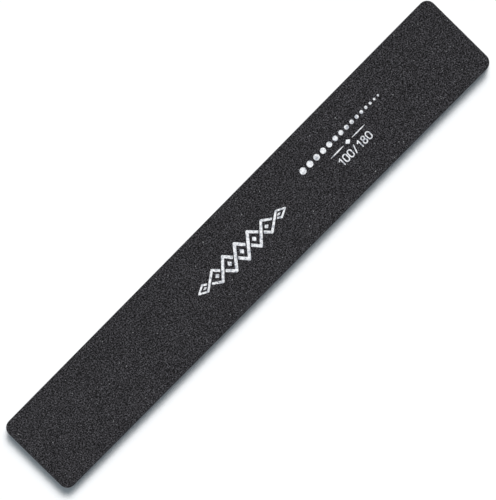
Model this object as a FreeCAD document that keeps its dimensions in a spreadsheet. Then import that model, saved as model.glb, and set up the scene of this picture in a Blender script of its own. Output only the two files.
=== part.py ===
# Emery board: a wide, straight, double-sided nail file, die-cut in one stroke from a stack of sheets.
# The coarse face is up, and the board lies on its fine face.
# X runs along the board, Y across it and Z up, from the middle of the resting face. Sizes are in mm.
import FreeCAD, Part
import math
import os
import Sketcher

SHEET_NAME = "Sizes"
PARTS_FOLDER = "parts"

# Driving dimensions: name, value and what it measures.
DRIVING_SIZES = [
    ("board_length", 178.0, "end to end, a seven inch board"),
    ("board_width", 27.0, "across the filing face"),
    ("corner_radius", 2.75, "the die's four round corners"),
    ("core_thickness", 0.85, "stiff polystyrene plate in the middle"),
    ("core_tape_thickness", 0.10, "double-sided tape between plate and foam"),
    ("cushion_thickness", 1.0, "closed-cell foam on each side of the plate"),
    ("cushion_draw_in", 0.16, "hollow of the cut foam wall at half its height"),
    ("paper_tape_thickness", 0.10, "double-sided tape between foam and paper"),
    ("paper_thickness", 0.20, "waterproof backing paper of each abrasive"),
    ("coarse_resin_thickness", 0.05, "resin that beds the coarse grit"),
    ("coarse_grit_thickness", 0.16, "coarse grit, 100 mesh"),
    ("coarse_rim_round", 0.11, "coarse rim, crushed over by the die"),
    ("fine_resin_thickness", 0.04, "resin that beds the fine grit"),
    ("fine_grit_thickness", 0.10, "fine grit, 180 mesh"),
    ("fine_rim_round", 0.07, "fine rim, crushed over by the die"),
]

# A crushed rim takes at most this share of its grit, so that some of the flank is left under it.
RIM_SHARE_OF_GRIT = 0.85

# The stack from the resting face up: label, and the size that is the layer's thickness.
STACK = [
    ("lower_grit_layer", "fine_grit_thickness"),
    ("lower_resin_coat", "fine_resin_thickness"),
    ("lower_backing_paper", "paper_thickness"),
    ("lower_paper_tape", "paper_tape_thickness"),
    ("lower_foam_cushion", "cushion_thickness"),
    ("lower_core_tape", "core_tape_thickness"),
    ("core_plate", "core_thickness"),
    ("upper_core_tape", "core_tape_thickness"),
    ("upper_foam_cushion", "cushion_thickness"),
    ("upper_paper_tape", "paper_tape_thickness"),
    ("upper_backing_paper", "paper_thickness"),
    ("upper_resin_coat", "coarse_resin_thickness"),
    ("upper_grit_layer", "coarse_grit_thickness"),
]

# How a sketch counts the points of a line or an arc, and its own horizontal axis.
START, END, CENTRE = 1, 2, 3
HORIZONTAL_AXIS = -1
SKETCH_ORIGIN = (HORIZONTAL_AXIS, START)

# The die's sides in order, anticlockwise: the way each faces. Corner k follows side k.
BOTTOM, RIGHT, TOP, LEFT = range(4)
FACING = [
    FreeCAD.Vector(0, -1, 0),
    FreeCAD.Vector(1, 0, 0),
    FreeCAD.Vector(0, 1, 0),
    FreeCAD.Vector(-1, 0, 0),
]
QUARTER_TURN = math.pi / 2


def cell(name):
    """The expression that reads one driving dimension."""
    return f"{SHEET_NAME}.{name}"


def write_sheet(document):
    """The sheet of driving dimensions: one row each, with the name as the value's alias."""
    sheet = document.addObject("Spreadsheet::Sheet", SHEET_NAME)
    for row, (name, value, meaning) in enumerate(DRIVING_SIZES, start=1):
        sheet.set(f"A{row}", name)
        sheet.set(f"B{row}", str(value))
        sheet.setAlias(f"B{row}", name)
        sheet.set(f"C{row}", meaning)
    document.recompute()
    return sheet


def new_sketch(body, name, plane_role):
    """An empty sketch on one of the body's own origin planes."""
    sketch = body.newObject("Sketcher::SketchObject", name)
    plane = next(item for item in body.Origin.OriginFeatures if item.Role == plane_role)
    sketch.AttachmentSupport = [(plane, "")]
    sketch.MapMode = "FlatFace"
    return sketch


def constrain(sketch, kind, *geometry):
    """Adds one geometric constraint."""
    return sketch.addConstraint(Sketcher.Constraint(kind, *geometry))


def dimension(sketch, name, expression, kind, *geometry_and_value):
    """Adds one dimension, under a name, and ties it to the sheet."""
    index = constrain(sketch, kind, *geometry_and_value)
    sketch.renameConstraint(index, name)
    sketch.setExpression(f"Constraints.{name}", expression)


def draw_die_outline(body, sheet):
    """The die's outline: a rectangle with four equal round corners, centred on the origin."""
    sketch = new_sketch(body, "DieOutline", "XY_Plane")
    radius = sheet.corner_radius
    reach = FreeCAD.Vector(sheet.board_length / 2 - radius, sheet.board_width / 2 - radius, 0)
    upward = FreeCAD.Vector(0, 0, 1)
    centres = []
    for k, facing in enumerate(FACING):
        toward = facing + FACING[(k + 1) % len(FACING)]
        centres.append(FreeCAD.Vector(toward.x * reach.x, toward.y * reach.y, 0))

    sides, corners = [], []
    for k, facing in enumerate(FACING):
        edge = Part.LineSegment(centres[k - 1] + facing * radius, centres[k] + facing * radius)
        turn = Part.ArcOfCircle(
            Part.Circle(centres[k], upward, radius), (k - 1) * QUARTER_TURN, k * QUARTER_TURN
        )
        sides.append(sketch.addGeometry(edge))
        corners.append(sketch.addGeometry(turn))

    for k, corner in enumerate(corners):
        constrain(sketch, "Tangent", sides[k], END, corner, START)
        constrain(sketch, "Tangent", corner, END, sides[(k + 1) % len(sides)], START)
    for side in (BOTTOM, TOP):
        constrain(sketch, "Horizontal", sides[side])
    for side in (RIGHT, LEFT):
        constrain(sketch, "Vertical", sides[side])
    for corner in corners[1:]:
        constrain(sketch, "Equal", corners[0], corner)
    constrain(sketch, "Symmetric", corners[BOTTOM], CENTRE, corners[TOP], CENTRE, *SKETCH_ORIGIN)

    dimension(sketch, "along", cell("board_length"),
              "DistanceX", sides[LEFT], START, sides[RIGHT], START, sheet.board_length)
    dimension(sketch, "across", cell("board_width"),
              "DistanceY", sides[BOTTOM], START, sides[TOP], START, sheet.board_width)
    dimension(sketch, "corner", cell("corner_radius"), "Radius", corners[0], radius)
    return sketch


def add_layer(document, sheet, label, thickness, thicknesses_below):
    """One sheet of the stack: the die's outline, padded, lying on the layers below it."""
    body = document.addObject("PartDesign::Body", label)
    body.Label = label
    outline = draw_die_outline(body, sheet)
    pad = body.newObject("PartDesign::Pad", "Thickness")
    pad.Profile = outline
    pad.setExpression("Length", cell(thickness))
    if thicknesses_below:
        body.setExpression("Placement.Base.z", " + ".join(cell(name) for name in thicknesses_below))
    document.recompute()
    return body


def draw_wall_hollow(body, sheet):
    """The section cut from the foam's wall: a shallow arc, closed by three lines outside the board."""
    sketch = new_sketch(body, "WallHollow", "XZ_Plane")
    height = sheet.cushion_thickness
    depth = sheet.cushion_draw_in
    wall = sheet.board_length / 2
    outside = wall + depth
    radius = (height**2 / 4 + depth**2) / (2 * depth)
    half_sweep = math.asin(height / 2 / radius)
    middle = FreeCAD.Vector(wall - depth + radius, height / 2, 0)
    circle = Part.Circle(middle, FreeCAD.Vector(0, 0, 1), radius)

    arc = sketch.addGeometry(Part.ArcOfCircle(circle, math.pi - half_sweep, math.pi + half_sweep))
    ring = [(wall, 0), (outside, 0), (outside, height), (wall, height)]
    points = [FreeCAD.Vector(x, z, 0) for x, z in ring]
    floor, back, roof = [
        sketch.addGeometry(Part.LineSegment(first, second)) for first, second in zip(points, points[1:])
    ]

    constrain(sketch, "Coincident", arc, END, floor, START)
    constrain(sketch, "Coincident", floor, END, back, START)
    constrain(sketch, "Coincident", back, END, roof, START)
    constrain(sketch, "Coincident", roof, END, arc, START)
    constrain(sketch, "Horizontal", roof)
    constrain(sketch, "Vertical", back)
    constrain(sketch, "PointOnObject", floor, START, HORIZONTAL_AXIS)
    constrain(sketch, "PointOnObject", floor, END, HORIZONTAL_AXIS)
    constrain(sketch, "Equal", roof, floor)

    thickness, draw_in = cell("cushion_thickness"), cell("cushion_draw_in")
    arc_radius = f"({thickness}^2 / 4 + {draw_in}^2) / (2 * {draw_in})"
    dimension(sketch, "wall", f"{cell('board_length')} / 2",
              "DistanceX", *SKETCH_ORIGIN, floor, START, wall)
    dimension(sketch, "outside", draw_in, "DistanceX", floor, START, floor, END, depth)
    dimension(sketch, "height", thickness, "DistanceY", back, START, back, END, height)
    dimension(sketch, "hollow", arc_radius, "Radius", arc, radius)
    return sketch


def draw_in_wall(document, sheet, body):
    """Hollows the foam's wall all round: squeezed under the die, it springs back to a concave arc."""
    pad = body.Tip
    outline = pad.Profile[0]
    hollow = draw_wall_hollow(body, sheet)
    cut = body.newObject("PartDesign::SubtractivePipe", "DrawnInWall")
    cut.Profile = hollow
    cut.Spine = (outline, [f"Edge{i + 1}" for i in range(len(outline.Shape.Edges))])
    body.Tip = cut
    document.recompute()
    if cut.Shape.Volume >= pad.Shape.Volume:
        raise RuntimeError(f"{body.Label}: the wall was not hollowed")


def crush_rim(document, body, outermost, rim_round, grit_thickness):
    """Rounds the grit's rim as the die leaves it. outermost picks the face with that rim by its height."""
    pad = body.Tip
    heights = [face.CenterOfMass.z for face in pad.Shape.Faces]
    filing_face = heights.index(outermost(heights)) + 1
    fillet = body.newObject("PartDesign::Fillet", "CrushedRim")
    fillet.Base = (pad, [f"Face{filing_face}"])
    fillet.setExpression("Radius", f"min({cell(rim_round)}; {RIM_SHARE_OF_GRIT} * {cell(grit_thickness)})")
    body.Tip = fillet
    document.recompute()
    if fillet.Shape.Volume >= pad.Shape.Volume:
        raise RuntimeError(f"{body.Label}: the rim was not rounded")


def build():
    """The whole stack with its finished edges, as layers by label."""
    document = FreeCAD.newDocument("EmeryBoard")
    sheet = write_sheet(document)
    layers = {}
    thicknesses_below = []
    for label, thickness in STACK:
        layers[label] = add_layer(document, sheet, label, thickness, thicknesses_below)
        thicknesses_below.append(thickness)
    for label in ("lower_foam_cushion", "upper_foam_cushion"):
        draw_in_wall(document, sheet, layers[label])
    crush_rim(document, layers["lower_grit_layer"], min, "fine_rim_round", "fine_grit_thickness")
    crush_rim(document, layers["upper_grit_layer"], max, "coarse_rim_round", "coarse_grit_thickness")
    check(document, layers)
    return layers


def check(document, layers):
    """Stops the build if an object failed or a layer isn't one valid solid."""
    for item in document.Objects:
        if "Invalid" in item.State or "Error" in item.State:
            raise RuntimeError(f"{item.Label} failed: {item.State}")
    for label, body in layers.items():
        shape = body.Shape
        if shape.isNull() or not shape.isValid() or len(shape.Solids) != 1:
            raise RuntimeError(f"{label} is not one valid solid")


def export(layers):
    """Writes one file for each layer."""
    os.makedirs(PARTS_FOLDER, exist_ok=True)
    for label, body in layers.items():
        shape = body.Shape
        shape.exportStep(os.path.join(PARTS_FOLDER, f"{label}.step"))
        box = shape.optimalBoundingBox(False)
        print(f"{label}: z {box.ZMin:.3f} to {box.ZMax:.3f} mm, volume {shape.Volume:.1f} mm3")


export(build())
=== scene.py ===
import math

import bpy
import numpy as np
from mathutils import Matrix, Vector
from mathutils.bvhtree import BVHTree


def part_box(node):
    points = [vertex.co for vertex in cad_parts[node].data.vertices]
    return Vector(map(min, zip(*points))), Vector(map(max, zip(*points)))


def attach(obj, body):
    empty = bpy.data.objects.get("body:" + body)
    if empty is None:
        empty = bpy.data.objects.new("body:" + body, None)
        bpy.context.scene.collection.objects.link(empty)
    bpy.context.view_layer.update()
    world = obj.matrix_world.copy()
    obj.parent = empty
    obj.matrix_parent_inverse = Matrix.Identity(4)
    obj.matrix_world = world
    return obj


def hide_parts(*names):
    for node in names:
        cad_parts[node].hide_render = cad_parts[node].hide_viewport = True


# Emery board in metres, length along X, coarse face up, lying on its fine face.
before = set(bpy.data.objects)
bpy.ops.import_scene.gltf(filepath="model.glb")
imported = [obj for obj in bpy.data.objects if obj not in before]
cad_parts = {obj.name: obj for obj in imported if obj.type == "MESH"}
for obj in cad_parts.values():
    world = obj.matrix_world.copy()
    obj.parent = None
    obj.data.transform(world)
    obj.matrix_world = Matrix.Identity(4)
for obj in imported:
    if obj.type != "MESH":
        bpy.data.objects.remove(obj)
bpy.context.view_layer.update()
mm = 0.001
print("frame loaded with", len(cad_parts), "layers")


# the die's outline, read off the stiff core
halfLength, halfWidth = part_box("core_plate")[1].xy
onEnd = 0.001 * mm  # points this close to the end lie on it
endReach = max(abs(v.co.y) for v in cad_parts["core_plate"].data.vertices
               if halfLength - v.co.x < onEnd)  # straight part of an end
cornerRadius = halfWidth - endReach
print("outline", round(2 * halfLength / mm, 2), "x", round(2 * halfWidth / mm, 2),
      "mm, corners", round(cornerRadius / mm, 2), "mm")


def sideCurve(halfRun, count):
    # one side with half of the round corner at each end: along it, back from it, and its turn
    straight = halfRun - cornerRadius
    s = np.linspace(-1, 1, count + 1) * (straight + cornerRadius * math.pi / 4)
    turn = np.clip((np.abs(s) - straight) / cornerRadius, 0, None)
    along = np.sign(s) * (np.minimum(np.abs(s), straight) + cornerRadius * np.sin(turn))
    back = cornerRadius * (1 - np.cos(turn))
    return along, back, np.sign(s) * turn


def dieRing(nx, ny):
    # points once round the outline, anticlockwise, with their outward directions
    longAlong, longBack, longTurn = sideCurve(halfLength, nx)
    endAlong, endBack, endTurn = sideCurve(halfWidth, ny)
    bottom = np.stack([longAlong, longBack - halfWidth, np.sin(longTurn), -np.cos(longTurn)], 1)
    right = np.stack([halfLength - endBack, endAlong, np.cos(endTurn), np.sin(endTurn)], 1)
    ring = np.concatenate([bottom[:-1], right[:-1], -bottom[:-1], -right[:-1]])
    return ring[:, :2], ring[:, 2:]


def dieGrid(nx, ny):
    # an even grid of points over the whole outline, with its rim on the die line
    longAlong, longBack, _ = sideCurve(halfLength, nx)
    endAlong, endBack, _ = sideCurve(halfWidth, ny)
    top = np.stack([longAlong, halfWidth - longBack], 1)[:, None, :]
    bottom = top * (1, -1)
    right = np.stack([halfLength - endBack, endAlong], 1)[None, :, :]
    left = right * (-1, 1)
    u = np.linspace(0, 1, nx + 1)[:, None, None]
    v = np.linspace(0, 1, ny + 1)[None, :, None]
    corners = ((1 - u) * (1 - v) * bottom[0, 0] + u * (1 - v) * bottom[-1, 0]
               + (1 - u) * v * top[0, 0] + u * v * top[-1, 0])
    return (1 - v) * bottom + v * top + (1 - u) * left + u * right - corners


def rimPlaces(nx, ny):
    # the grid's rim in the ring's order
    loop = [(i, 0) for i in range(nx)] + [(nx, j) for j in range(ny)]
    loop += [(i, ny) for i in range(nx, 0, -1)] + [(0, j) for j in range(ny, 0, -1)]
    return tuple(np.array(loop).T)


def gapToRim(places):
    # how far inside the outline
    reach = np.abs(places) - (halfLength - cornerRadius, halfWidth - cornerRadius)
    return cornerRadius - np.linalg.norm(reach.clip(0, None), axis=-1) - reach.max(-1).clip(None, 0)


# making a piece from points and faces
sharpAngle = math.radians(50)  # steeper edges stay crisp on a smooth piece


def makePiece(name, points, faces, material, smooth=False):
    mesh = bpy.data.meshes.new(name)
    mesh.from_pydata(points.tolist(), [], faces)
    mesh.polygons.foreach_set("use_smooth", [smooth] * len(mesh.polygons))
    if smooth:
        mesh.set_sharp_from_angle(angle=sharpAngle)
    mesh.materials.append(material)
    piece = bpy.data.objects.new(name, mesh)
    bpy.context.scene.collection.objects.link(piece)
    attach(piece, "root")
    return piece


def addMeasure(piece, name, values):
    # one number for each point, for the material to read
    measure = piece.data.attributes.new(name, "FLOAT", "POINT")
    measure.data.foreach_set("value", np.asarray(values, np.float32).ravel())


def cellCorners(grid):
    # the four neighbours around each cell of a grid, anticlockwise
    return grid[:-1, :-1], grid[1:, :-1], grid[1:, 1:], grid[:-1, 1:]


def addBakeMap(piece, *places):
    # a flat map of the piece, one place for each face corner in the order of the faces
    layer = piece.data.uv_layers.new(name="OFBake")
    corners = np.concatenate([place.reshape(-1, 2) for place in places])
    layer.data.foreach_set("uv", corners.astype(np.float32).ravel())


def stripMap(count, low, high):
    # four-cornered faces side by side in one strip of the map
    start = np.arange(count) / count
    end = start + 1 / count
    across = np.stack([start, end, end, start], 1)
    return np.stack([across, np.tile([low, low, high, high], (count, 1))], -1)


def flatMap(places, low, high):
    # the whole outline laid flat in one strip of the map
    return (places / (2 * halfLength, 2 * halfWidth) + 0.5) * (1, high - low) + (0, low)


# node helpers
noiseSpan = (0.3, 0.7)  # most of a noise lies between these values


def newMaterial(name):
    material = bpy.data.materials.new(name)
    material.use_nodes = True
    return material, material.node_tree, material.node_tree.nodes["Principled BSDF"]


def setSocket(tree, socket, value):
    # a link from another node, or a plain value
    if isinstance(value, bpy.types.NodeSocket):
        tree.links.new(value, socket)
    else:
        socket.default_value = value


def addNode(tree, kind, inputs=None, **settings):
    node = tree.nodes.new(kind)
    for key, value in settings.items():
        setattr(node, key, value)
    for key, value in (inputs or {}).items():
        setSocket(tree, node.inputs[key], value)
    return node


def addMath(tree, kind, operation, first, second):
    return addNode(tree, kind, {0: first, 1: second}, operation=operation).outputs


def readMeasure(tree, name):
    return addNode(tree, "ShaderNodeAttribute", attribute_name=name).outputs["Fac"]


def addRamp(tree, factor, stops):
    # stops: place and grey or colour
    node = addNode(tree, "ShaderNodeValToRGB", {"Fac": factor})
    ramp = node.color_ramp
    while len(ramp.elements) < len(stops):
        ramp.elements.new(1)
    for element, (place, colour) in zip(ramp.elements, stops):
        element.position = place
        element.color = (*colour, 1) if isinstance(colour, tuple) else (colour, colour, colour, 1)
    return node.outputs["Color"]


def shade(colour, share):
    return tuple(min(1, share * c) for c in colour)


def toneStops(colour, tones):
    # ramp stops from a table of places and shares of one colour
    return [(place, shade(colour, share)) for place, share in tones.items()]


def boardCoords(tree, stretch=(1, 1, 1)):
    coords = addNode(tree, "ShaderNodeTexCoord")
    mapping = addNode(tree, "ShaderNodeMapping", {"Vector": coords.outputs["Object"], "Scale": stretch})
    return mapping.outputs["Vector"]


def addNoise(tree, place, size, detail):
    noise = addNode(tree, "ShaderNodeTexNoise", {"Vector": place, "Scale": 1 / size, "Detail": detail})
    return noise.outputs["Fac"]


def mixColours(tree, factor, first, second, blend="MIX"):
    node = addNode(tree, "ShaderNodeMix", data_type="RGBA", blend_type=blend)
    for socket, value in zip((0, 6, 7), (factor, first, second)):  # its factor and two colour sockets
        setSocket(tree, node.inputs[socket], value)
    return node.outputs[2]  # its colour


def finishSurface(tree, shader, colour, gloss, relief, look):
    # colour, roughness between two values, and fine relief
    tree.links.new(colour, shader.inputs["Base Color"])
    spread = addNode(tree, "ShaderNodeMapRange",
                     {"Value": gloss, "To Min": look["rough"][0], "To Max": look["rough"][1]})
    tree.links.new(spread.outputs["Result"], shader.inputs["Roughness"])
    bump = addNode(tree, "ShaderNodeBump",
                   {"Height": relief, "Strength": look["bump"], "Distance": look["relief"]})
    tree.links.new(bump.outputs["Normal"], shader.inputs["Normal"])
    shader.inputs["Specular IOR Level"].default_value = look["specular"]


# abrasive grains on the two filing faces
coarseGrit = {
    "pitch": 0.25 * mm,  # between neighbouring tips and pits
    "jitter": 0.36,  # share of the pitch
    "crispness": 3,  # how surely a tip has pits around it
    "deepest": 0.06,  # lowest pit, as a share of the layer
    "fullness": 0.9,  # under 1 there is more tip than pit
    "rimHeight": (0.25, 0.6),  # crushed by the die, as a share of the layer
    "rimRagged": 0.12 * mm,  # deepest nick in the cut edge
    "rimWear": 0.45 * mm,  # how far in the rubbed rim reaches
    "wear": (0.2, 0.9),  # least and most rubbed at the rim
    "wallWear": 0.3,
    "grain": 0.23 * mm,  # across one crystal
    "crystal": (0.0611, 0.0585, 0.0633),
    "tones": {0.0: 0.38, 0.5: 1.52, 0.985: 3.5},  # dull, usual and bright crystals
    "paintedGlints": {0.9955: 0.16, 0.9992: 0.85},  # painted glints: a few crystals coloured pale as painted highlights
    # resin in the pits, coloured darker than the resin's own colour: partly real resin, partly painted shade
    "resin": (0.0028, 0.0028, 0.0031),
    "resinAndShadeLevel": (0.3, 0.97),  # grains are clear of the resin and of the painted pit shade at the second of these heights
    "rimTone": 0.8,
    "cloud": 6 * mm,
    "cloudTones": (0.88, 1.0),
    "rough": (0.4, 0.75),
    "bump": 1,
    "relief": 1,  # facets are already measured in metres
    "specular": 0.06,
    "seed": 100,
}
# the fine face has fewer and fainter painted glints
fineGrit = dict(coarseGrit, pitch=0.225 * mm, grain=0.13 * mm, paintedGlints={0.9955: 0.1, 0.9992: 0.25}, seed=180)
gritMap = {
    "strips": 6,  # the filing face is cut into these
    "perRow": 3,
    "rowHeight": 0.4,
    "margin": 0.012,
    "bed": (0.82, 0.91),
    "wall": (0.93, 0.99),
}


def gritMaterial(name, grit):
    material, tree, shader = newMaterial(name)
    place = boardCoords(tree)
    grains = addNode(tree, "ShaderNodeTexVoronoi", {"Vector": place, "Scale": 1 / grit["grain"]}).outputs
    chance = addNode(tree, "ShaderNodeSeparateColor", {"Color": grains["Color"]}).outputs
    # the rarest crystals take painted glints, pale colour standing in for highlights
    stops = toneStops(grit["crystal"], grit["tones"]) + list(grit["paintedGlints"].items())
    tones = addRamp(tree, chance["Red"], stops)
    clearOfResinAndShade = addRamp(tree, readMeasure(tree, "gritRise"), list(zip(grit["resinAndShadeLevel"], (0.0, 1.0))))
    pitShadedGrains = mixColours(tree, clearOfResinAndShade, (*grit["resin"], 1), tones)  # lower facets take the dark resin colour, which also serves as painted shade in the pits
    cloudStops = list(zip(noiseSpan, grit["cloudTones"]))
    clouds = addRamp(tree, addNoise(tree, place, grit["cloud"], detail=3), cloudStops)
    clouded = mixColours(tree, 1.0, pitShadedGrains, clouds, "MULTIPLY")
    rubbed = (*shade(grit["crystal"], grit["rimTone"]), 1)
    colour = mixColours(tree, readMeasure(tree, "rimWear"), clouded, rubbed)

    # each crystal is a flat facet that leans its own way
    lean = addMath(tree, "ShaderNodeVectorMath", "SUBTRACT", grains["Color"], (0.5, 0.5, 0.5))
    across = addMath(tree, "ShaderNodeVectorMath", "SUBTRACT", place, grains["Position"])
    facet = addMath(tree, "ShaderNodeVectorMath", "DOT_PRODUCT", lean["Vector"], across["Vector"])
    finishSurface(tree, shader, colour, chance["Green"], facet["Value"], grit)
    return material


def strayFromGrid(grid, onRim, outward, grit, rng):
    # sideways moves, smaller where the grid is tight, and only inwards on the rim
    nx, ny = np.subtract(grid.shape[:2], 1)
    room = np.full(grid.shape[:2], grit["pitch"])
    inner = grid[1:-1, 1:-1]
    for i, j in ((-1, -1), (-1, 0), (-1, 1), (0, -1), (0, 1), (1, -1), (1, 0), (1, 1)):
        gap = np.linalg.norm(grid[1 + i:nx + i, 1 + j:ny + j] - inner, axis=-1)
        room[1:-1, 1:-1] = np.minimum(room[1:-1, 1:-1], gap)
    stray = rng.uniform(-1, 1, grid.shape) * grit["jitter"] * room[..., None]
    stray[onRim] = -outward * rng.random((len(outward), 1)) ** 2 * grit["rimRagged"]
    return stray


def tipsAndPits(shape, grit, rng):
    # a tip has pits around it, and the heights are spread evenly
    height = rng.random(shape)
    around = np.pad(height, 1, mode="edge")
    near = sum(around[i:i + shape[0], j:j + shape[1]] for i in range(3) for j in range(3)) / 9
    order = np.argsort(np.argsort((height + grit["crispness"] * (height - near)).ravel()))
    share = order.reshape(shape) / height.size
    return grit["deepest"] + (1 - grit["deepest"]) * share ** grit["fullness"]


def splitCells(index, rng):
    # two crystal facets from each cell, split along a random diagonal
    a, b, c, d = (corner.ravel() for corner in cellCorners(index))
    flip = rng.random((len(a), 1)) < 0.5
    first = np.where(flip, np.stack([a, b, d], 1), np.stack([a, b, c], 1))
    second = np.where(flip, np.stack([b, c, d], 1), np.stack([a, c, d], 1))
    return np.stack([first, second], 1).reshape(-1, 3)


def mapFacets(grid, facets):
    # the filing face cut into strips, laid out in rows
    strips, perRow, margin = gritMap["strips"], gritMap["perRow"], gritMap["margin"]
    nx, ny = np.subtract(grid.shape[:2], 1)
    strip = np.repeat(np.minimum(np.arange(nx) * strips // nx, strips - 1), 2 * ny)[:, None]
    corner = (grid.reshape(-1, 2)[facets] + (halfLength, halfWidth)) / (2 * halfLength, 2 * halfWidth)
    across = margin + (corner[..., 0] * strips - strip) * (1 - 2 * margin)
    up = margin + corner[..., 1] * (1 - 2 * margin)
    mapX, mapY = (strip % perRow + across) / perRow, (strip // perRow + up) * gritMap["rowHeight"]
    return np.stack([mapX, mapY], -1)


def makeGrit(name, node, facing, grit):
    low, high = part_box(node)
    bed, tip = (low.z, high.z) if facing > 0 else (high.z, low.z)
    rng = np.random.default_rng(grit["seed"])
    nx, ny = round(2 * halfLength / grit["pitch"]), round(2 * halfWidth / grit["pitch"])
    grid = dieGrid(nx, ny)
    ring, outward = dieRing(nx, ny)
    onRim = rimPlaces(nx, ny)
    stray = strayFromGrid(grid, onRim, outward, grit, rng)
    rise = tipsAndPits(grid.shape[:2], grit, rng)

    # the die crushes the rim, and use rubs it
    inside = gapToRim(grid)
    crushed = 1 - (inside / grit["pitch"]).clip(0, 1)
    rise += crushed * (rng.uniform(*grit["rimHeight"], rise.shape) - rise)
    wear = (1 - inside / grit["rimWear"]).clip(0, 1) * rng.uniform(*grit["wear"], rise.shape)

    # the faceted face, closed by a wall and a flat bed
    levels = bed + (tip - bed) * rise
    tops = np.concatenate([grid + stray, levels[..., None]], 2).reshape(-1, 3)
    points = np.concatenate([tops, np.concatenate([ring, np.full((len(ring), 1), bed)], 1)])
    index = np.arange(rise.size).reshape(rise.shape)
    facets = splitCells(index, rng)
    rim, under = index[onRim], rise.size + np.arange(len(ring))
    walls = np.stack([under, np.roll(under, -1), np.roll(rim, -1), rim], 1)
    faces = facets.tolist() + walls.tolist() + [under[::-1].tolist()]
    facetMap, wallMap = mapFacets(grid, facets), stripMap(len(ring), *gritMap["wall"])
    bedMap = flatMap(ring, *gritMap["bed"])[::-1]
    if facing < 0:
        faces = [face[::-1] for face in faces]
        facetMap, wallMap, bedMap = facetMap[:, ::-1], wallMap[:, ::-1], bedMap[::-1]

    piece = makePiece(name, points, faces, gritMaterial(name, grit))
    addMeasure(piece, "gritRise", np.append(rise, np.zeros(len(ring))))
    addMeasure(piece, "rimWear", np.append(wear, np.full(len(ring), grit["wallWear"])))
    addBakeMap(piece, facetMap, wallMap, bedMap)
    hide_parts(node)
    print(name, "has", len(facets), "facets")
    return BVHTree.FromPolygons(points.tolist(), facets.tolist())


upperRelief = makeGrit("upper_grit", "upper_grit_layer", 1, coarseGrit)
makeGrit("lower_grit", "lower_grit_layer", -1, fineGrit)


# foam cushions with cut cells on their drawn-in walls
foam = {
    "pitch": 0.15 * mm,  # along the wall
    "rows": 9,
    "drawIn": 0.16 * mm,  # at half height
    "cell": 0.24 * mm,
    "cellReach": (0.3, 0.62),  # smallest and largest cut cell, as shares of a cell
    "cellDepth": 0.075 * mm,
    "tone": (0.05, 0.051, 0.055),
    "tones": {0.25: 0.7, 0.75: 1.35},
    # cut cells are coloured this much darker: painted shade in the hollows
    "cellShade": 0.35,
    "grain": 0.12 * mm,
    "rough": (0.75, 0.95),
    "bump": 0.3,
    "relief": 0.03 * mm,
    "specular": 0.25,
    "fill": 0.95,
    "seeds": {"upper": 21, "lower": 22},
}
foamMap = {
    "strips": 12,  # the wall is cut into these
    "margin": 0.1,
    "wall": 0.76,
    "lowerFace": (0.78, 0.88),
    "upperFace": (0.89, 0.99),
}


def foamMaterial():
    material, tree, shader = newMaterial("foam")
    grain = addNoise(tree, boardCoords(tree), foam["grain"], detail=3)
    skin = addRamp(tree, grain, toneStops(foam["tone"], foam["tones"]))
    hollowShade = (*shade(foam["tone"], foam["cellShade"]), 1)
    # painted shade: cut cells darken with their depth
    colour = mixColours(tree, readMeasure(tree, "cellDepth"), skin, hollowShade)
    finishSurface(tree, shader, colour, grain, grain, foam)
    return material


def cutCells(s, z, length, height, rng):
    # depth of the cut cells at places along and up the wall, from 0 to 1
    wide, high = round(length / foam["cell"]), max(1, round(height / foam["cell"]))
    offset = rng.random((wide, high + 2, 2))
    reach = rng.uniform(*foam["cellReach"], (wide, high + 2))
    column, row = s / length * wide, z / height * high
    depth = np.zeros(s.shape)
    for i in (-1, 0, 1):
        for j in (-1, 0, 1):
            ci, cj = np.floor(column).astype(int) + i, np.floor(row).astype(int) + j
            key = (ci % wide, np.clip(cj + 1, 0, high + 1))
            gap = np.hypot(ci + offset[key][..., 0] - column, cj + offset[key][..., 1] - row)
            depth = np.maximum(depth, 1 - (gap / reach[key]) ** 2)
    return depth


def makeFoam(name, node, material, seed):
    low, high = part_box(node)
    rng = np.random.default_rng(seed)
    ring, outward = dieRing(round(2 * halfLength / foam["pitch"]), round(2 * halfWidth / foam["pitch"]))
    count, rows, height = len(ring), foam["rows"], high.z - low.z
    step = np.linalg.norm(np.roll(ring, -1, 0) - ring, axis=1)
    s = np.cumsum(step) - step
    share = np.linspace(0, 1, rows + 1)[:, None]
    depth = cutCells(np.tile(s, (rows + 1, 1)), np.tile(share * height, (1, count)), step.sum(), height, rng)
    depth[[0, -1]] = 0  # bonded edges stay flush
    drawn = foam["drawIn"] * (1 - (2 * share - 1) ** 2) + foam["cellDepth"] * depth
    places = ring - outward * drawn[..., None]
    levels = np.tile(low.z + share * height, (1, count))
    points = np.concatenate([places, levels[..., None]], 2).reshape(-1, 3)

    index = np.arange(depth.size).reshape(depth.shape)
    after = np.roll(index, -1, 1)
    walls = np.stack([index[:-1], after[:-1], after[1:], index[1:]], -1).reshape(-1, 4)
    faces = walls.tolist() + [index[0, ::-1].tolist(), index[-1].tolist()]
    piece = makePiece(name, points, faces, material, smooth=True)
    addMeasure(piece, "cellDepth", depth)

    # map: the wall in strips, the two bonded faces above them
    strips, margin = foamMap["strips"], foamMap["margin"]
    lap = s / step.sum() * strips
    strip = np.floor(lap)
    start, end = lap - strip, np.minimum(lap - strip + step / step.sum() * strips, 1)
    level = (strip + margin + (1 - 2 * margin) * share) / strips * foamMap["wall"]
    across = np.tile(np.stack([start, end, end, start], -1), (rows, 1, 1))
    up = np.stack([level[:-1], level[:-1], level[1:], level[1:]], -1)
    lowerFace, upperFace = flatMap(ring, *foamMap["lowerFace"])[::-1], flatMap(ring, *foamMap["upperFace"])
    addBakeMap(piece, np.stack([across, up], -1), lowerFace, upperFace)
    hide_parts(node)
    print(name, "has", len(walls), "wall faces")


foamFinish = foamMaterial()
for side, seed in foam["seeds"].items():
    makeFoam(side + "_foam", side + "_foam_cushion", foamFinish, seed)


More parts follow.
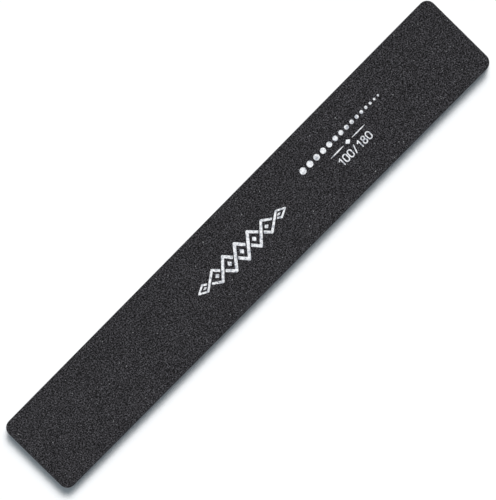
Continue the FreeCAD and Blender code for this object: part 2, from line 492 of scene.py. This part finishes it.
# flat sheets keep their solids and get their finish here
sheets = {
    "core_plate": {
        "tone": (0.8, 0.79, 0.75), "spread": 0.06, "grain": 0.12 * mm, "stretch": (1, 1, 0.12),
        "rough": (0.4, 0.6), "bump": 0.35, "relief": 0.04 * mm, "specular": 0.5,
    },  # knife marks run up and down
    "core_tape": {
        "tone": (0.4, 0.39, 0.35), "spread": 0.2, "grain": 0.3 * mm, "stretch": (1, 1, 1),
        "rough": (0.2, 0.4), "bump": 0.3, "relief": 0.04 * mm, "specular": 0.5,
    },
    "paper_tape": {
        "tone": (0.36, 0.35, 0.32), "spread": 0.2, "grain": 0.3 * mm, "stretch": (1, 1, 1),
        "rough": (0.2, 0.4), "bump": 0.3, "relief": 0.04 * mm, "specular": 0.5,
    },
    "backing_paper": {
        "tone": (0.06, 0.06, 0.065), "spread": 0.45, "grain": 0.25 * mm, "stretch": (1, 1, 6),
        "rough": (0.7, 0.95), "bump": 0.6, "relief": 0.04 * mm, "specular": 0.3,
    },  # fibres lie flat
    "resin_coat": {
        "tone": (0.016, 0.016, 0.018), "spread": 0.3, "grain": 0.2 * mm, "stretch": (1, 1, 1),
        "rough": (0.25, 0.5), "bump": 0.4, "relief": 0.04 * mm, "specular": 0.5,
    },
}


def sheetMaterial(name, sheet):
    material, tree, shader = newMaterial(name)
    grain = addNoise(tree, boardCoords(tree, sheet["stretch"]), sheet["grain"], detail=4)
    tones = dict(zip(noiseSpan, (1 - sheet["spread"], 1 + sheet["spread"])))
    colour = addRamp(tree, grain, toneStops(sheet["tone"], tones))
    finishSurface(tree, shader, colour, grain, grain, sheet)
    return material


for sheetName, sheet in sheets.items():
    sheetFinish = sheetMaterial(sheetName, sheet)
    for nodeName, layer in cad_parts.items():
        if nodeName.endswith(sheetName):
            layer.data.materials.clear()
            layer.data.materials.append(sheetFinish)
print("sheets finished")


# print on the coarse face: an ink film over the grains, broken at the deepest pits
ink = {
    "pitch": 0.09 * mm,
    "film": 0.012 * mm,
    "proud": 0.008 * mm,
    "level": 0.5,  # pits are bridged at this share of the grit
    "skip": 0.23,  # pits deeper than this share stay bare
    "ragged": 0.05 * mm,
    "raggedLevel": 0.35,  # the outline draws back over pits deeper than this share
    "raggedNoise": 0.25,
    "edgeDraw": 0.8,  # how far the film's steps are drawn onto the outline
    "leastSlope": 0.5,  # where two strokes meet the steps are drawn less
    "tone": (0.92, 0.92, 0.935),
    "tones": {0.5: 0.84, 0.6: 1.0},
    "thin": (0.36, 0.38, 0.43),  # where dark grains dim it
    "thinCover": 0.34,
    "mottle": 0.75 * mm,
    "grain": 0.22 * mm,
    "rough": (0.45, 0.7),
    "bump": 0.2,
    "relief": 0.03 * mm,
    "specular": 0.4,
}
inkMap = {
    "top": (0, 0.8),
    "underside": (0.81, 0.91),
    "edge": (0.93, 0.99),
}


def inkMaterial():
    material, tree, shader = newMaterial("print_ink")
    place = boardCoords(tree)
    cover = addNoise(tree, place, ink["mottle"], detail=4)
    colour = addRamp(tree, cover, [(ink["thinCover"], ink["thin"])] + toneStops(ink["tone"], ink["tones"]))
    grain = addNoise(tree, place, ink["grain"], detail=3)
    finishSurface(tree, shader, colour, grain, grain, ink)
    return material


def strokeGap(p, start, end):
    # distance from points to a straight stroke's middle line
    along = np.subtract(end, start)
    t = np.clip(((p - start) @ along) / (along @ along), 0, 1)
    return np.linalg.norm(p - start - t[..., None] * along, axis=-1)


def pointedGap(p, middle, length, width):
    # signed distance to a level stroke pointed at both ends
    along, aside = np.moveaxis(np.abs(p - middle), -1, 0)
    halfLong, halfWide = length / 2, width / 2
    radius = (halfLong**2 + halfWide**2) / (2 * halfWide)
    offset = radius - halfWide
    pastTip = (along - halfLong) * offset > aside * halfLong
    return np.where(pastTip, np.hypot(aside, along - halfLong), np.hypot(aside + offset, along) - radius)


def diamondGap(p, middle, half):
    # nearly the signed distance to a diamond, from half its length and height
    flank = 0.7 * np.min(half)
    return ((np.abs(p - middle) / half).sum(-1) - 1) * flank


wovenBand = {
    "middle": (-1.5 * mm, -0.2 * mm),
    "length": 36 * mm,
    "count": 7,
    "swing": 3.15 * mm,  # how far a strand strays from the middle line
    "taper": 0.6,  # higher for slimmer ends
    "stroke": (0.5 * mm, 0.95 * mm),  # at the tips and at the widest diamond
    "space": 0.36 * mm,  # beside the strand that passes over
    "inner": 0.3,  # share of the diamond around it
    "area": ((-20.5 * mm, -4.5 * mm), (17.5 * mm, 4.1 * mm)),
    "seed": 31,
}


def wovenBandGap(p):
    # two zigzag strands that pass over and under each other, with a diamond in each space
    count, length = wovenBand["count"], wovenBand["length"]
    step = length / count
    local = p - wovenBand["middle"]
    peak = (np.arange(count) + 0.5) * step - length / 2
    reach = wovenBand["swing"] * np.cos(math.pi * peak / length) ** wovenBand["taper"]
    tip = (length / 2, 0)
    strands = []
    for side in (1, -1):
        zigzag = side * reach * (-1) ** np.arange(count)
        path = np.concatenate([[np.negative(tip)], np.stack([peak, zigzag], 1), [tip]])
        strands.append(np.min([strokeGap(local, *ends) for ends in zip(path, path[1:])], axis=0))

    place = (local[..., 0] / length).clip(-0.5, 0.5)
    weight = np.interp(np.cos(math.pi * place), (0, 1), wovenBand["stroke"]) / 2
    crossing = np.round((place + 0.5) * count)
    over = np.where(crossing % 2 == 0, *strands)
    under = np.where(crossing % 2 == 0, *strands[::-1])
    cut = np.where((crossing > 0) & (crossing < count), weight + wovenBand["space"] - over, -np.inf)
    gap = np.minimum(over - weight, np.maximum(under - weight, cut))
    for x, y in zip(peak, reach):
        gap = np.minimum(gap, diamondGap(local, (x, 0), wovenBand["inner"] * np.array((step / 2, y))))
    return gap


dots = {
    "left": 26.8 * mm,
    "right": 59.2 * mm,
    "height": 3.6 * mm,
    "count": 15,
    "radius": (1.05 * mm, 0.34 * mm),  # coarse to fine
    "area": ((26 * mm, 2 * mm), (60 * mm, 5.2 * mm)),
    "seed": 32,
}


def dotsGap(p):
    radii = np.linspace(*dots["radius"], dots["count"])
    room = (dots["right"] - dots["left"] - 2 * radii.sum()) / (dots["count"] - 1)
    middles = dots["left"] + np.cumsum(2 * radii + room) - radii - room
    gaps = [np.linalg.norm(p - (x, dots["height"]), axis=-1) - radius for x, radius in zip(middles, radii)]
    return np.min(gaps, axis=0)


rule = {
    "middle": (43.15 * mm, 0.35 * mm),
    "arm": 5.8 * mm,
    "weight": 0.42 * mm,
    "diamond": (0.95 * mm, 0.8 * mm),  # half its length and height
    "space": 0.5 * mm,
    "area": ((35 * mm, -1 * mm), (51 * mm, 1.7 * mm)),
    "seed": 33,
}


def ruleGap(p):
    gap = diamondGap(p, rule["middle"], rule["diamond"])
    out = rule["diamond"][0] + rule["space"] + rule["arm"] / 2
    for side in (1, -1):
        arm = pointedGap(p, np.add(rule["middle"], (side * out, 0)), rule["arm"], rule["weight"])
        gap = np.minimum(gap, arm)
    return gap


gritNumbers = {
    "text": "100/180",
    "middle": (43.15 * mm, -2.65 * mm),
    "height": 2.65 * mm,
    "stroke": 0.37 * mm,
    "advance": 1.86 * mm,
    "flag": (0.24, 0.2),  # width and drop on the one, as shares of the height
    "slash": 0.32,  # width, as a share of the height
    "eight": (0.46, 0.54),  # upper and lower loop, as shares of half the height
    "zero": 0.5,  # width, as a share of the height
    "area": ((35 * mm, -4.5 * mm), (51 * mm, -0.8 * mm)),
    "seed": 34,
}


def signGap(p, sign):
    # distance to a sign's middle line, p measured from the middle of the sign
    tall = gritNumbers["height"]
    half = (tall - gritNumbers["stroke"]) / 2
    if sign == "1":
        wide, drop = np.multiply(gritNumbers["flag"], tall)
        stem = strokeGap(p, (wide / 2, -half), (wide / 2, half))
        return np.minimum(stem, strokeGap(p, (wide / 2, half), (-wide / 2, half - drop)))
    if sign == "/":
        wide = gritNumbers["slash"] * tall
        return strokeGap(p, (-wide / 2, -half), (wide / 2, half))
    if sign == "8":
        upper, lower = np.multiply(gritNumbers["eight"], half)
        loops = [((0, half - upper), upper), ((0, lower - half), lower)]
        return np.min([np.abs(np.linalg.norm(p - middle, axis=-1) - r) for middle, r in loops], axis=0)
    radius = gritNumbers["zero"] * tall / 2
    return np.abs(strokeGap(p, (0, radius - half), (0, half - radius)) - radius)


def numbersGap(p):
    text = gritNumbers["text"]
    gaps = []
    for k, sign in enumerate(text):
        middle = np.add(gritNumbers["middle"], ((k - (len(text) - 1) / 2) * gritNumbers["advance"], 0))
        gaps.append(signGap(p - middle, sign))
    return np.min(gaps, axis=0) - gritNumbers["stroke"] / 2


def grainsUnder(places, wanted, bed, tip):
    # how high the grains stand, as a share of the grit
    rise = np.zeros(wanted.shape)
    for i, j in np.argwhere(wanted):
        hit = upperRelief.ray_cast(Vector((*places[i, j], tip + 1 * mm)), Vector((0, 0, -1)))[0]
        rise[i, j] = (hit.z - bed) / (tip - bed)
    return rise


def makePrint(name, gapOf, design, material):
    rng = np.random.default_rng(design["seed"])
    low, high = np.array(design["area"])
    bed, tip = (corner.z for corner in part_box("upper_grit_layer"))
    pitch = ink["pitch"]
    places = np.stack(np.meshgrid(*(np.arange(a, b, pitch) for a, b in zip(low, high)), indexing="ij"), -1)
    gap = gapOf(places)
    rise = grainsUnder(places, gap < 2 * pitch, bed, tip)

    # ragged outline, bare pits, and the film's edge drawn onto the outline
    drawBack = (ink["raggedLevel"] - rise).clip(0, None)
    wander = ink["raggedNoise"] * rng.normal(0, 1, gap.shape).clip(-1, 1)
    gap = gap + ink["ragged"] * (drawBack + wander)
    inked = (sum(cellCorners(gap)) < 0) & (sum(cellCorners(rise)) / 4 > ink["skip"])
    slope = np.stack(np.gradient(gap, pitch), -1)
    slope /= np.linalg.norm(slope, axis=-1, keepdims=True).clip(ink["leastSlope"], None)
    beside = np.stack(cellCorners(np.pad(inked, 1)))
    onEdge = beside.any(0) & ~beside.all(0) & (np.abs(gap) < pitch)
    places = places - ink["edgeDraw"] * np.where(onEdge, gap, 0)[..., None] * slope
    levels = bed + np.maximum(rise, ink["level"]) * (tip - bed) + ink["proud"]
    points = np.concatenate([places, levels[..., None]], 2).reshape(-1, 3)

    # closed film: top, underside and edge
    index = np.arange(gap.size).reshape(gap.shape)
    used, cells = np.unique(np.stack(cellCorners(index), -1)[inked], return_inverse=True)
    cells, count = cells.reshape(-1, 4), len(used)
    edges = np.concatenate([cells[:, [k, (k + 1) % 4]] for k in range(4)])
    rim = edges[~np.isin(edges @ (count, 1), edges @ (1, count))]
    sides = np.concatenate([rim[:, ::-1], rim + count], 1)
    points = np.concatenate([points[used], points[used] - (0, 0, ink["film"])])
    faces = np.concatenate([cells, cells[:, ::-1] + count, sides])
    piece = makePiece(name, points, faces.tolist(), material, smooth=True)

    # map: the top, the underside pressed flatter, then the edge
    spot = (points[:count, :2] - low) / (high - low)
    maps = []
    for corners, (start, end) in ((cells, inkMap["top"]), (cells[:, ::-1], inkMap["underside"])):
        maps.append(spot[corners] * (1, end - start) + (0, start))
    addBakeMap(piece, *maps, stripMap(len(sides), *inkMap["edge"]))
    print(name, "printed with", len(cells), "cells of ink")


inkFinish = inkMaterial()
makePrint("printed_diamonds", wovenBandGap, wovenBand, inkFinish)
makePrint("printed_dots", dotsGap, dots, inkFinish)
makePrint("printed_rule", ruleGap, rule, inkFinish)
makePrint("printed_numbers", numbersGap, gritNumbers, inkFinish)


# plain studio: white floor, a soft key that is brighter in the middle, and a faint cool fill
studio = {
    "floorSize": 3.0,
    "floorTone": 0.8,
    "keyZenith": 42.5,  # degrees from straight above
    "keyHeading": 33.6,  # degrees from +X
    "keyShare": (0.83, 0.82, 0.814),
    "lamps": {"key_wide": (33.7, 0.75), "key_middle": (13.3, 0.25)},  # degrees across, share of the key
    "fill": (0.19, 0.224, 0.251),
}
cameraSetup = {
    "aim": (-0.21 * mm, -1.23 * mm, 2 * mm),
    "distance": 900 * mm,
    "lens": 221.11,
    "sensor": 36,
    "azimuth": 7.1,  # degrees from +X, where the camera leans to
    "tilt": 6.66,
    "pictureUp": 44.46,  # degrees from +X
}


def fromAbove(zenith, heading):
    # the direction that leans this far from straight up, towards a heading
    flat = math.sin(zenith)
    return Vector((flat * math.cos(heading), flat * math.sin(heading), math.cos(zenith)))


def seenDirectly(tree):
    # 1 where the eye, a mirror or glass sees it
    path = addNode(tree, "ShaderNodeLightPath").outputs
    seen = path["Is Camera Ray"]
    for ray in ("Is Glossy Ray", "Is Transmission Ray"):
        seen = addMath(tree, "ShaderNodeMath", "MAXIMUM", seen, path[ray])["Value"]
    return seen


def makeFloor():
    half = studio["floorSize"] / 2
    corners = [(-half, -half, 0), (half, -half, 0), (half, half, 0), (-half, half, 0)]
    mesh = bpy.data.meshes.new("floor")
    mesh.from_pydata(corners, [], [(0, 1, 2, 3)])
    material, tree, shader = newMaterial("floor_white")
    tone = studio["floorTone"]
    colour = mixColours(tree, seenDirectly(tree), (tone, tone, tone, 1), (1, 1, 1, 1))
    tree.links.new(colour, shader.inputs["Base Color"])
    shader.inputs["Roughness"].default_value = 1
    shader.inputs["Specular IOR Level"].default_value = 0
    mesh.materials.append(material)
    floor = bpy.data.objects.new("floor", mesh)
    bpy.context.scene.collection.objects.link(floor)


def makeWorld():
    world = bpy.data.worlds.new("studio")
    world.use_nodes = True
    tree = world.node_tree
    colour = mixColours(tree, seenDirectly(tree), (*studio["fill"], 1), (1, 1, 1, 1))
    tree.links.new(colour, tree.nodes["Background"].inputs["Color"])
    bpy.context.scene.world = world


def makeKey():
    zenith, heading = math.radians(studio["keyZenith"]), math.radians(studio["keyHeading"])
    toward = fromAbove(zenith, heading)
    level = max(studio["keyShare"])
    for name, (spread, share) in studio["lamps"].items():
        light = bpy.data.lights.new(name, "SUN")
        light.angle = math.radians(spread)
        light.energy = math.pi * level * share / math.cos(zenith)
        light.color = [part / level for part in studio["keyShare"]]
        lamp = bpy.data.objects.new(name, light)
        lamp.rotation_euler = toward.to_track_quat("Z", "Y").to_euler()
        lamp.location = toward
        bpy.context.scene.collection.objects.link(lamp)


def makeCamera():
    azimuth, tilt, up = (math.radians(cameraSetup[key]) for key in ("azimuth", "tilt", "pictureUp"))
    back = fromAbove(tilt, azimuth)
    right = Vector((math.cos(up), math.sin(up), 0)).cross(back).normalized()
    turned = Matrix((right, back.cross(right), back)).transposed().to_4x4()
    lens = bpy.data.cameras.new("camera")
    lens.lens = cameraSetup["lens"]
    lens.sensor_width = cameraSetup["sensor"]
    camera = bpy.data.objects.new("camera", lens)
    eye = Vector(cameraSetup["aim"]) + back * cameraSetup["distance"]
    camera.matrix_world = Matrix.Translation(eye) @ turned
    bpy.context.scene.collection.objects.link(camera)
    bpy.context.scene.camera = camera


makeFloor()
makeWorld()
makeKey()
makeCamera()
bpy.context.scene.view_settings.view_transform = "Standard"
print("studio set")
